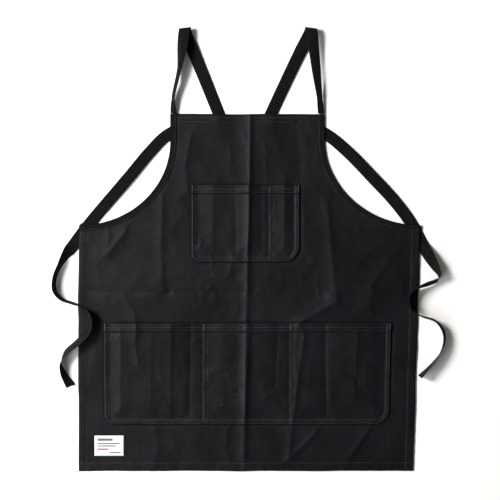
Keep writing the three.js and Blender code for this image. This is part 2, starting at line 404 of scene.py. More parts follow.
@cache
def satin_label():
    m = Shader("satin_label")
    x, y, _ = m.split(m.position())
    ground, ink, red = (0.78, 0.77, 0.80), (0.035, 0.035, 0.045), (0.42, 0.045, 0.05)
    (left, foot, _), (width, height, _) = LABEL_LOW, LABEL_HIGH - LABEL_LOW
    fibres = m.noise(m.position(), 1400.0, 2.0)
    threads = (y * cycles(SATIN_PITCH)).sin()
    tone = m.mix(m.ramp(fibres, 0.3, 0.8) * 0.5, ground, tuned(ground, 0.86))
    for x0, x1, y0, y1, is_red in BARS:
        inside = (x > left + x0 * width) * (x < left + x1 * width)
        inside = inside * (y > foot + y0 * height) * (y < foot + y1 * height)
        tone = m.mix(inside * 0.92, tone, red if is_red else ink)
    return m.set(
        base_color=tone,
        roughness=0.42 + fibres * 0.2,
        normal=m.bump(threads + fibres, 0.06 * MM, 0.6),
        specular_ior_level=0.5,
    )


@cache
def paper_floor():
    m = Shader("paper_floor")
    grain = m.noise(m.position(), 40.0, 4.0)
    return m.set(
        base_color=m.mix(grain * 0.3, (0.93, 0.925, 0.92), (0.91, 0.905, 0.90)),
        roughness=0.9,
        specular_ior_level=0.1,
    )


# The shape of the cloth as it lies -------------------------------------------

def smooth(low, high, value):
    """An even step from 0 at low to 1 at high."""
    t = np.clip((value - low) / (high - low), 0, 1)
    return t * t * (3 - 2 * t)


def bell(away, width):
    """A rounded bump that is 1 at no distance."""
    return np.exp(-((away / width) ** 2))


def unit(vectors):
    return vectors / np.linalg.norm(vectors, axis=1)[:, None]


def run_lengths(path):
    """How far along the path each of its points is."""
    return np.concatenate([[0], np.cumsum(np.linalg.norm(np.diff(path, axis=0), axis=1))])


def corner_place(side, over, down):
    """A point near a side corner of the body, over and down from it in millimetres."""
    return side * (HALF_WIDTH - over * MM), CORNER_Y - down * MM


class Ripples:
    """Smooth seeded noise over the plane, between -1 and 1."""

    def __init__(self, seed, scale):
        self.lattice = np.random.default_rng(seed).uniform(-1, 1, (128, 128))
        self.scale = scale

    def __call__(self, x, y):
        u = np.asarray(x) / self.scale + 31.3
        v = np.asarray(y) / self.scale + 17.7
        i, j = np.floor(u).astype(int), np.floor(v).astype(int)
        a, b = u - i, v - j
        a, b = (t * t * t * (t * (6 * t - 15) + 10) for t in (a, b))
        at = lambda p, q: self.lattice[(i + p) % 128, (j + q) % 128]
        return (
            at(0, 0) * (1 - a) * (1 - b) + at(1, 0) * a * (1 - b)
            + at(0, 1) * (1 - a) * b + at(1, 1) * a * b
        )


WAVE_LONG = Ripples(SEED, 0.150)
WAVE_MID = Ripples(SEED + 1, 0.056)
WAVE_SHORT = Ripples(SEED + 2, 0.021)
WAVE_FOLD = Ripples(SEED + 4, 0.036)
WAVE_SEAM = Ripples(SEED + 3, 0.011)

# Creases in the cloth: the points along each one, its height and its half width, in millimetres. A
# negative height is a valley.
BODY_CREASES = [
    ([(6, 378), (4, 200), (-1, 0), (-5, -200), (-8, -378)], 2.1, 7.5),
    ([(-359, 4), (-300, 2), (-166, 0)], -1.0, 7),
    ([(-166, 0), (-60, 3), (14, 1)], -0.7, 7),
    ([(14, 1), (110, -4), (175, -10)], 0.7, 10),
    ([(-181, 204), (-184, 110), (-180, 3)], 1.0, 12),
    ([(167, 190), (176, 90), (187, -18)], 1.2, 13),
    ([(187, -18), (150, -40), (105, -69)], 1.8, 11),
    ([(110, -69), (120, -90), (97, -262), (86, -355)], 1.4, 12),
    ([(147, -296), (112, -330), (80, -357)], 1.5, 8),
    ([(260, -291), (236, -325), (213, -357)], 1.4, 8),
    ([(-260, 130), (-280, 104), (-296, 80)], 1.3, 10),
    ([(-70, 34), (-58, 28), (-44, 31)], 1.0, 7),
    ([(-100, 8), (-88, 5), (-76, 10)], 1.0, 6),
    ([(-262, -8), (-240, -40), (-232, -92)], 0.8, 10),
    ([(290, 60), (262, 20), (255, -30)], 0.9, 12),
    ([(-120, 330), (-132, 270), (-126, 214)], 1.0, 12),
    ([(96, 345), (112, 280), (106, 222)], -1.0, 12),
    ([(-30, -378), (-46, -330), (-42, -288)], 0.9, 10),
    ([(-200, -378), (-190, -330), (-196, -288)], 0.8, 11),
]
KNOT_AT = np.array([175, -10]) * MM
KNOT_RISE = 1.8 * MM
KEEPER_RISE = 1.5 * MM
STRAP_RISE = 1.1 * MM
CHANNEL_DEPTH = 0.9 * MM
STEEP_SIDE = 1.7
GENTLE_SIDE = 0.8
BLUNT = 1.0 * MM  # how rounded the top of a crease is
# Where the cloth has been handled: a place and a size, in millimetres.
CRUMPLED = [
    (-66, 18, 60), (-20, 50, 50), (170, -20, 60), (0, 330, 50), (-300, 90, 50), (280, 40, 60),
]
LAP_CREASES = [
    ([(-236, -70), (-238, -112), (-231, -150)], 0.9, 7),
    ([(-162, -66), (-164, -268)], 0.8, 12),
    ([(-120, -68), (-123, -268)], -1.0, 10),
    ([(4, -66), (0, -160), (-4, -272)], 1.3, 6),
    ([(66, -70), (58, -200)], -0.6, 8),
    ([(104, -68), (86, -268)], 1.2, 8),
    ([(164, -70), (168, -262)], -1.2, 11),
    ([(234, -74), (226, -230)], 0.7, 9),
    ([(-20, -206), (-14, -222)], -0.8, 5),
    ([(226, -176), (236, -190)], -0.8, 5),
    ([(-268, -80), (-270, -256)], 0.6, 10),
    ([(-204, -78), (-206, -250)], 0.4, 12),
]
CHEST_CREASES = [
    ([(2, 228), (3, 150), (-1, 76)], 1.2, 6),
    ([(-72, 224), (-74, 84)], 0.35, 9),
    ([(-26, 226), (-25, 84)], -0.5, 9),
    ([(80, 224), (78, 90)], 0.3, 9),
    ([(29, 224), (30, 84)], -0.4, 7),
    ([(-100, 100), (-108, 90)], 1.0, 6),
]
# Little spots where the wax has been rubbed off: a place and a half width, in millimetres.
SCUFFS = [
    (-111, 94, 3.5), (45, 70, 3), (-92, -270, 3), (92, -268, 3), (-20, -217, 3), (-54, -238, 2.5),
]


def crease_height(creases, x, y):
    """The sum of the creases' heights at each point. A crease falls more steeply on its right."""
    gain = bpy.context.scene.apron_cloth.fold_height
    total = np.zeros(np.shape(x))
    for points, height, width in creases:
        best = np.full(np.shape(x), 1e9)
        right = np.zeros(np.shape(x), bool)
        line = np.array(points, float) * MM
        for a, b in zip(line[:-1], line[1:]):
            d = b - a
            t = np.clip(((x - a[0]) * d[0] + (y - a[1]) * d[1]) / (d @ d), 0, 1)
            dx, dy = x - a[0] - t * d[0], y - a[1] - t * d[1]
            away = np.hypot(dx, dy)
            nearer = away < best
            best = np.where(nearer, away, best)
            right = np.where(nearer, dx - dy > 0, right)
        reach = (np.sqrt(best**2 + BLUNT**2) - BLUNT) / (width * MM)
        total += gain * height * MM * np.exp(-reach * np.where(right, STEEP_SIDE, GENTLE_SIDE))
    return total


def armhole_half_width(y):
    """Half the cloth's width at each height, before it is shifted as it lies."""
    rise = np.clip((ARMHOLE_TOP - y) / ARMHOLE_DEPTH, 0, 1)
    narrowing = (HALF_WIDTH - HALF_BIB) * np.sqrt(1 - rise**2)
    above = np.where(y >= ARMHOLE_TOP, HALF_BIB, HALF_WIDTH - narrowing)
    return np.where(y <= CORNER_Y, HALF_WIDTH, above)


def lie(x, y):
    """Where a point of the pattern lies: the edges wander, as the creases take cloth up."""
    below_bib = smooth(0.38, 0.14, y)
    right = (3 + 0.03 * y / MM) * MM * below_bib
    left = (-5 * np.clip(y / 0.141, 0, 1) ** 2 - 1.5 * np.clip(-y / 0.378, 0, 1)) * MM * below_bib
    share = np.clip(np.abs(x) / HALF_WIDTH, 0, 1) ** 2
    wander = 0.7 * MM * WAVE_MID(y, y + 0.4) * share
    rise = 0.8 * MM * WAVE_MID(x, 0 * x) * np.clip(np.abs(y) / HALF_LENGTH, 0, 1) ** 4
    return x + np.where(x > 0, right, -left) * share + wander, y + rise


def crumple(x, y):
    """Sharp little ridges, mostly where the cloth has been handled."""
    amount = np.full(np.shape(x), 0.34)
    for cx, cy, size in CRUMPLED:
        amount = amount + 0.8 * bell(np.hypot(x - cx * MM, y - cy * MM), size * MM)
    ridge = 1 - np.abs(WAVE_FOLD(x + 0.15 * y, y - 0.2 * x))
    return np.minimum(amount, 1) * ridge**4


def beside(x, y, low, high, radius):
    """Distance outside a rounded rectangle."""
    dx = np.abs(x - (low[0] + high[0]) / 2) - (high[0] - low[0]) / 2 + radius
    dy = np.abs(y - (low[1] + high[1]) / 2) - (high[1] - low[1]) / 2 + radius
    outside = np.hypot(np.maximum(dx, 0), np.maximum(dy, 0))
    return outside + np.minimum(np.maximum(dx, dy), 0) - radius


# What stands up from the body: its lowest and highest corner and the radius of its corners.
RAISED = (
    (CHEST_LOW, CHEST_HIGH, POCKET_CORNER),
    (LAP_LOW, LAP_HIGH, POCKET_CORNER),
    (LABEL_LOW, LABEL_HIGH, 2 * MM),
)


def channel(x, y):
    """How far the cloth dips to the right of the pockets and below them, from 0 to 1."""
    dip = np.zeros(np.shape(x))
    for low, high, radius in RAISED[:2]:
        away = beside(x, y, low, high, radius)
        right = smooth(-20 * MM, 0, x - high[0])
        below = smooth(12 * MM, -2 * MM, y - low[1])
        dip = np.maximum(dip, np.maximum(right, below) * bell(away - 2.2 * MM, 2.4 * MM))
    return dip


def body_face(x, y):
    """Height of the cloth's face."""
    z = np.full(np.shape(x), LAY_TOP)
    z = z + TAPE_ROOM * smooth(0.235, 0.310, y)
    for _, side, over, down, _ in KEEPERS:
        corner_x, corner_y = corner_place(side, over, down)
        z = z + KEEPER_RISE * bell(np.hypot(x - corner_x, y - corner_y), 34 * MM)
    for centre in STRAPS_UNDER_BIB:
        z = z + STRAP_RISE * bell(x - centre * MM, 15 * MM) * smooth(0.346, 0.370, y)
    edge = np.minimum(HALF_WIDTH - np.abs(x), HALF_LENGTH + y)
    calm = smooth(0.0, 0.045, edge)
    z = z - 0.5 * MM * smooth(HEM - 1.5 * MM, HEM + 3 * MM, edge)
    z = z + (0.35 + 0.65 * calm) * crease_height(BODY_CREASES, x, y)
    waves = ((WAVE_LONG, 1.7), (WAVE_MID, 0.75), (WAVE_SHORT, 0.20), (crumple, 0.9))
    z = z + calm * MM * sum(height * wave(x, y) for wave, height in waves)
    z = z - CHANNEL_DEPTH * channel(x, y)
    z = z + KNOT_RISE * bell(np.hypot(x - KNOT_AT[0], y - KNOT_AT[1]), 12 * MM)
    z = z - SEAM_PUCKER * bell(edge - HEM, 2.6 * MM)
    z = z + SEAM_PUCKER * 1.5 * WAVE_SEAM(x, y) * bell(edge, HEM * 1.1)
    top = HALF_LENGTH - y
    on_bib = smooth(HALF_BIB + 0.03, HALF_BIB, np.abs(x)) * smooth(0.08, 0.06, top)
    z = z - 0.45 * MM * smooth(HEM - 1 * MM, HEM + 2 * MM, top) * on_bib
    return np.maximum(z, CLOTH + 0.6 * MM)


def edge_shade_of(x, y):
    """How much painted shade lies beside the pockets' and the label's edges, from 0 to 1."""
    edge_shade = np.zeros(np.shape(x))
    for low, high, radius in RAISED:
        edge_shade = np.maximum(edge_shade, bell(beside(x, y, low, high, radius) - 1 * MM, 2.6 * MM))
    return edge_shade


def wear_of(creases, x, y):
    """How rubbed each point is, from 0 to 1."""
    high = np.maximum(crease_height(creases, x, y), 0) / (3.4 * MM)
    wear_and_shade = np.clip(high**3.0, 0, 1) * 0.38
    for cx, cy, size in SCUFFS:
        wear_and_shade = wear_and_shade + 0.7 * bell(np.hypot(x - cx * MM, y - cy * MM), size * MM)
    return np.minimum(wear_and_shade, 1)


# Mesh helpers ----------------------------------------------------------------

def new_object(name, verts, faces, material, attribute=None):
    mesh = bpy.data.meshes.new(name)
    mesh.from_pydata([tuple(v) for v in verts], [], faces)
    mesh.validate()
    mesh.update()
    if attribute is not None:
        layer = mesh.attributes.new("wear_and_shade", "FLOAT", "POINT")
        layer.data.foreach_set("value", np.asarray(attribute, np.float32))
    mesh.polygons.foreach_set("use_smooth", np.ones(len(mesh.polygons), bool))
    mesh.materials.append(material)
    made = bpy.data.objects.new(name, mesh)
    bpy.context.collection.objects.link(made)
    return made


def grid_faces(rows, columns, first=0, flip=False):
    i, j = np.meshgrid(np.arange(rows - 1), np.arange(columns - 1), indexing="ij")
    a = first + i * columns + j
    quads = np.stack([a, a + 1, a + columns + 1, a + columns], -1).reshape(-1, 4)
    return quads[:, ::-1] if flip else quads


def closed_sheet(name, x, y, z, thickness, material, wear_and_shade=None):
    """A closed thin sheet under a grid of points, with rows upwards and columns to the right."""
    rows, columns = x.shape
    rim = np.zeros((rows, columns), bool)
    rim[0, :] = rim[-1, :] = rim[:, 0] = rim[:, -1] = True
    soften = np.where(rim, 0.3 * thickness, 0)
    top = np.stack([x, y, z - soften], -1).reshape(-1, 3)
    bottom = np.stack([x, y, z - thickness + soften], -1).reshape(-1, 3)
    count = rows * columns
    faces = [*grid_faces(rows, columns), *grid_faces(rows, columns, count, True)]
    index = np.arange(count).reshape(rows, columns)
    loop = np.concatenate([index[0, :-1], index[:-1, -1], index[-1, :0:-1], index[:0:-1, 0]])
    after = np.roll(loop, -1)
    faces += [(b, a, a + count, b + count) for a, b in zip(loop, after)]
    layer = None if wear_and_shade is None else np.concatenate([wear_and_shade.reshape(-1)] * 2)
    faces = [tuple(map(int, face)) for face in faces]
    return new_object(name, np.concatenate([top, bottom]), faces, material, layer)


def pattern_grid(levels, left, right, columns):
    """Points of a pattern piece: a row at each level, between its left edge and its right edge."""
    share = np.linspace(0, 1, columns)
    lo, hi = (np.reshape(edge * np.ones(len(levels)), (-1, 1)) for edge in (left, right))
    return lo + (hi - lo) * share, np.repeat(levels[:, None], columns, 1)


def steps(low, high, step):
    """Even steps of about this size from low to high."""
    return np.linspace(low, high, max(2, int(round((high - low) / step)) + 1))


def swept(name, sections, material, places):
    """A closed skin through rings of points. The places are the tape's own coordinates."""
    sections = np.asarray(sections)
    rings, count, _ = sections.shape
    verts = sections.reshape(-1, 3)
    faces = []
    for first in range(0, (rings - 1) * count, count):
        for j in range(count):
            a, b = first + j, first + (j + 1) % count
            faces.append((a, b, b + count, a + count))
    faces.append(tuple(range(count - 1, -1, -1)))
    faces.append(tuple(range((rings - 1) * count, rings * count)))
    made = new_object(name, verts, faces, material)
    flat = np.asarray(places).reshape(-1, 2)
    layer = made.data.uv_layers.new(name="tape")
    index = np.empty(len(made.data.loops), np.int32)
    made.data.loops.foreach_get("vertex_index", index)
    layer.data.foreach_set("uv", flat[index].astype(np.float32).reshape(-1))
    return outward(made)


def outward(made):
    """Turns the faces to point out, whichever way the rings ran."""
    work = bmesh.new()
    work.from_mesh(made.data)
    bmesh.ops.recalc_face_normals(work, faces=work.faces)
    work.to_mesh(made.data)
    work.free()
    return made


# Straps ----------------------------------------------------------------------

# Points along each strap's centre: x, y, z in millimetres, then the bearing of the line across the
# tape and how far that line leans up from level, in degrees.
LEFT_STRAP = [
    (-156.4, 378.5, 4.1, 0, 0), (-157.5, 408, 9, 0, 42), (-148, 458, 15.5, -8, 30),
    (-138.5, 513, 18.5, -3, 8), (-133, 551, 16.6, 6, 0), (-132, 559, 11.8, 7, 0),
    (-131.5, 553, 7, 12, 0), (-115, 511, 3.6, 22, 0), (-83, 433, 1.4, 22, 0),
    (-61, 379, 0.5, 22, 0), (-54, 362, 0.5, 24, 0), (-36, 339, 0.5, 58, 0), (-5, 331, 0.5, 94, 0),
    (60, 338, 0.5, 96, 0), (125, 344.5, 0.5, 95, 0), (147, 344, 0.5, 78, 0),
    (173, 331, 0.6, 51, 0), (214, 296, 2.2, 46, 0), (265, 243, 3.4, 44, 0),
    (310, 195, 2.4, 43, 0), (341, 155, 1.65, 35, 0), (355, 131, 1.65, 27, 0),
    (372, 99, 1.65, 27, 0), (386, 73, 8, 30, 32), (399, 50, 12.5, 28, 58), (405, 35, 13.6, 0, 84),
    (399, 25.5, 13.6, -50, 90), (380, 18, 15.5, -70, 84), (357, 9, 18, -60, 86),
    (341, -4, 18, -20, 92), (338, -20, 18, 10, 96), (346, -38, 18.2, 40, 92),
    (368, -50, 17.6, 62, 90), (397, -60, 13.6, 50, 96), (415, -84, 13, 5, 113),
    (414, -112, 13.2, -15, 108), (394, -145, 13.6, -35, 92), (364, -178, 13.2, -42, 76),
]
RIGHT_STRAP = [
    (156.4, 378.5, 4.1, 0, 0), (155.5, 408, 9, 2, -24), (147.5, 458, 15.5, 6, -20),
    (140, 513, 18.5, 3, -8), (135, 551, 16.6, -7, 0), (134, 559, 11.8, -8, 0),
    (133, 553, 7, -13, 0), (112, 511, 3.6, -25, 0), (75, 433, 2.2, -25, 0),
    (50, 379, 1.7, -25, 0), (42, 362, 1.7, -28, 0), (24, 340, 1.7, -60, 0),
    (-7, 331, 1.7, -94, 0), (-66, 337, 1.7, -96, 0), (-125, 344.5, 1.7, -95, 0),
    (-147, 344, 1.65, -78, 0), (-173, 331, 1.65, -51, 0), (-208, 296, 3.2, -47, 0),
    (-252, 243, 4.2, -45, 0), (-294, 194, 2.8, -44, 0), (-328, 154, 1.65, -40, 0),
    (-344, 134, 1.65, -36, 0), (-370, 99, 1.65, -35, 0), (-383, 80, 11.7, -34, -47),
    (-396, 58, 12.8, -26, -72), (-407, 31, 13.2, -10, -76), (-407, 4, 13.2, 18, -78),
    (-392, -14, 13.6, 50, -86), (-366, -23, 17.6, 68, -90), (-341, -35, 18, 45, -98),
    (-331, -57, 17.6, 8, -112), (-337, -83, 17.4, -28, -124), (-358, -105, 17.4, -44, -124),
    (-384, -127, 13.4, -38, -116), (-394, -148, 13.4, -5, -92), (-388, -171, 12, 15, -66),
    (-373, -198, 10.2, 22, -48),
]
FOLD_POINT = 5
# How far the folded tape has opened at places along each loop's front leg.
OPENING = {
    -1: ([0, 1.5, 2.2, 3, 4.2, 5], [0, 0.30, 0.50, 0.72, 1, 1]),
    1: ([0, 0.7, 1.5, 2.2, 3, 4.2, 5], [0.1, 0.46, 0.59, 0.71, 0.80, 1, 1]),
}
# How much further, in degrees, the tape leans where it is folded or stands on edge.
EXTRA_LEAN = {
    -1: (
        [0, 1, 2, 3, 4, 25, 26, 27, 28, 29, 31, 32, 33, 34],
        [0, 16, 16, 2, 0, 0, 22, 30, 17, 3, 2, 7, 5, 0],
    ),
    1: ([0, 25, 26, 27, 28, 29], [0, 0, 3, 8, 9, 1]),
}
KEEPER_POINT = 21
MOUTH_POINT = 22
STRAP_SAMPLES = 9  # for each span of a route
TAPE_COLUMNS = 9
FOLD_DROP = 0.62  # how far the inner half of the folded tape drops as it swings
FLOOR_ROOM = 1.4 * MM  # what the folded tape keeps from the floor
HEM_SWELL = 1.9  # how much thicker a tie's end is
SELVEDGE = 0.55  # how much thinner the tape's edges are
WOBBLE = 0.22 * MM
WOBBLE_LENGTH = 23 * MM
END_HEM = 14 * MM


def spline(points, at):
    """Centripetal Catmull-Rom through the points, at a place counted in points."""
    last = len(points) - 1
    i = min(int(at), last - 1)
    t = at - i
    p1, p2 = points[i], points[i + 1]
    p0 = points[i - 1] if i > 0 else 2 * p1 - p2
    p3 = points[i + 2] if i + 2 <= last else 2 * p2 - p1
    pairs = ((p0, p1), (p1, p2), (p2, p3))
    d0, d1, d2 = (max(np.linalg.norm(b - a) ** 0.5, 1e-6) for a, b in pairs)
    m1 = ((p1 - p0) / d0 - (p2 - p0) / (d0 + d1) + (p2 - p1) / d1) * d1
    m2 = ((p2 - p1) / d1 - (p3 - p1) / (d1 + d2) + (p3 - p2) / d2) * d1
    a = 2 * t**3 - 3 * t**2 + 1
    b = t**3 - 2 * t**2 + t
    return p1 * a + m1 * b + p2 * (1 - a) + m2 * (t**3 - t**2)


def strap_run(route, start, end, extra=None):
    """Centre points and unit vectors across and out of the tape's face, from start to end."""
    table = np.array(route, float)
    points = table[:, :3] * MM
    places = np.linspace(start, end, int(round((end - start) * STRAP_SAMPLES)) + 1)
    centre = np.array([spline(points, at) for at in places])
    along = unit(np.gradient(centre, axis=0))
    bearing = np.radians(np.interp(places, range(len(table)), table[:, 3]))
    lean = np.interp(places, range(len(table)), table[:, 4])
    if extra:
        lean = lean + np.interp(places, *extra)
    lean = np.radians(lean)
    level = np.cos(lean)
    across = np.stack([np.cos(bearing) * level, np.sin(bearing) * level, np.sin(lean)], -1)
    return places, centre, across, unit(np.cross(across, along))


def folded(centre, across, face, side, opened, offsets, tape):
    """Points over the folded tape: its inner half swings out from under its outer half."""
    inner = across * -side
    crease = centre - inner * tape.width * 0.25 * (1 - opened)
    swing = math.pi * opened
    drop = min(FOLD_DROP, max(0.0, (crease[2] - FLOOR_ROOM) / (tape.width / 2)))
    turned = inner * math.cos(swing) - np.array([0, 0, 1]) * math.sin(swing) * drop
    points = []
    for offset in offsets:
        over = offset * -side >= 0
        lift = 0.55 * tape.thickness * (1 - opened) * (1 if over else -1)
        points.append(crease + (inner if over else turned) * abs(offset) + face * lift)
    return np.array(points)


def tape_piece(name, route, start, end, side, hem_at_end=False):
    """A length of tape as a closed mesh, and the points that its centre follows."""
    tape = bpy.context.scene.apron_tape
    places, centre, across, face = strap_run(route, start, end, EXTRA_LEAN[side])
    distance = run_lengths(centre)
    offsets = np.linspace(-0.5, 0.5, TAPE_COLUMNS) * tape.width
    rings, uvs = [], []
    for k, at in enumerate(places):
        if at < FOLD_POINT:
            opened = float(np.interp(at, *OPENING[side]))
            flat = folded(centre[k], across[k], face[k], side, opened, offsets, tape)
        else:
            flat = centre[k] + np.outer(offsets, across[k])
        half = np.full(TAPE_COLUMNS, tape.thickness / 2)
        half[[0, -1]] *= SELVEDGE
        if hem_at_end and distance[-1] - distance[k] < END_HEM:
            half *= HEM_SWELL
        normal = np.cross(np.gradient(flat, axis=0), np.cross(face[k], across[k]))
        normal = normal / np.maximum(np.linalg.norm(normal, axis=1), 1e-9)[:, None]
        cup = np.cos(offsets / tape.width * math.pi)
        wobble = WOBBLE * math.sin(distance[k] / WOBBLE_LENGTH + side) * cup
        top = flat + normal * (half + wobble)[:, None]
        bottom = flat - normal * (half - wobble)[:, None]
        ring = np.concatenate([top, bottom[::-1]])
        if hem_at_end:
            low = ring[:, 2].min()
            beyond = smooth(MOUTH_POINT + 0.5, MOUTH_POINT + 1.5, at)
            ring[:, 2] -= smooth(2.6 * MM, 1.8 * MM, low) * beyond * (low - 0.1 * MM)
        rings.append(ring)
        u = np.full(2 * TAPE_COLUMNS, distance[k])
        uvs.append(np.stack([u, np.concatenate([offsets, offsets[::-1]])], -1))
    piece = swept(name, rings, strap_tape(), uvs)
    return piece, centre, float(distance[-1])


def end_stitches(name, route, end, tack_width):
    """Two rows of stitches across the folded end of a tie."""
    _, centre, across, face = strap_run(route, end - 0.9, end)
    distance = run_lengths(centre)
    rows = []
    for back in (END_HEM * 0.86, END_HEM * 0.3):
        k = int(np.argmin(np.abs(distance[-1] - back - distance)))
        lift = face[k] * 1.05 * MM
        for sign in (1, -1):
            offsets = steps(-tack_width, tack_width, 3 * MM)
            rows.append((centre[k] + np.outer(offsets, across[k]) + lift * sign, face[k] * sign))
    return stitching(name, rows)


# Stitches --------------------------------------------------------------------

UP = (0, 0, 1)
STITCH_GAP = 0.06  # how much of its pitch a stitch leaves free at each end
# A stitch's rings of six points: their places along it and how full they are.
STITCH_RINGS = ((0.22, 0.86), (0.5, 1.0), (0.78, 0.86))


def resampled(path, pitch):
    """The path again, with points this far apart."""
    lengths = run_lengths(path)
    count = max(1, int(lengths[-1] / pitch))
    at = np.linspace(0, lengths[-1], count + 1)
    return np.stack([np.interp(at, lengths, path[:, k]) for k in range(3)], -1)


def stitching(name, rows):
    """Runs of stitches. Each row is its path on the surface and the way out of the surface."""
    settings = bpy.context.scene.apron_stitch
    radius = settings.thickness / 2
    verts, faces = [], []
    for path, out in rows:
        points = resampled(np.asarray(path, float), settings.pitch)
        for a, b in zip(points[:-1], points[1:]):
            along = b - a
            size = np.linalg.norm(along)
            if size < 1e-6:
                continue
            along /= size
            side = np.cross(np.asarray(out, float), along)
            side /= max(np.linalg.norm(side), 1e-9)
            up = np.cross(along, side)
            first = len(verts)
            verts.append(a + along * size * STITCH_GAP - up * radius)
            for share, swell in STITCH_RINGS:
                middle = a + along * size * share + up * radius * 0.25
                for turn in range(6):
                    angle = turn * math.pi / 3
                    spoke = side * math.cos(angle) + up * math.sin(angle)
                    verts.append(middle + spoke * radius * swell)
            verts.append(b - along * size * STITCH_GAP - up * radius)
            for turn in range(6):
                nxt = (turn + 1) % 6
                faces.append((first, first + 1 + nxt, first + 1 + turn))
                for p in (first + 1, first + 7):
                    faces.append((p + turn, p + nxt, p + 6 + nxt, p + 6 + turn))
                faces.append((first + 19, first + 13 + turn, first + 13 + nxt))
    return outward(new_object(name, verts, faces, sewing_thread()))


def on_face(x, y, face, lift=0.0):
    """Points on a surface of the cloth at these places of the pattern."""
    x, y = np.asarray(x, float), np.asarray(y, float)
    z = face(x, y) + lift
    x, y = lie(x, y)
    return np.stack([x, y, z], -1)


def straight(x0, y0, x1, y1, face):
    count = max(2, int(math.hypot(x1 - x0, y1 - y0) / (2 * MM)))
    return on_face(np.linspace(x0, x1, count), np.linspace(y0, y1, count), face), UP


def sew_on(piece, body, node=None):
    """Common last steps for a piece: what it stands for and its body."""
    if node:
        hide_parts(node)
    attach(piece, body)


# Pockets ---------------------------------------------------------------------

POCKET_GAP = 0.25 * MM
POCKET_ROWS = (2.6 * MM, 9.4 * MM)  # the double row, in from the pocket's edge
MOUTH_ROWS = (HEM - 1 * MM, HEM - 8 * MM)  # the rows of the mouth's hem, down from its top
MOUTH_HEM = 1.9 * MM
RIM = 1.7 * MM
RIM_LOSS = 0.5 * MM  # how much lower the rim is on the left
RUB = 1.6 * MM  # how far the rubbed edges reach
DIVIDER_ROW = 1.6 * MM
TACK = 1.5 * MM


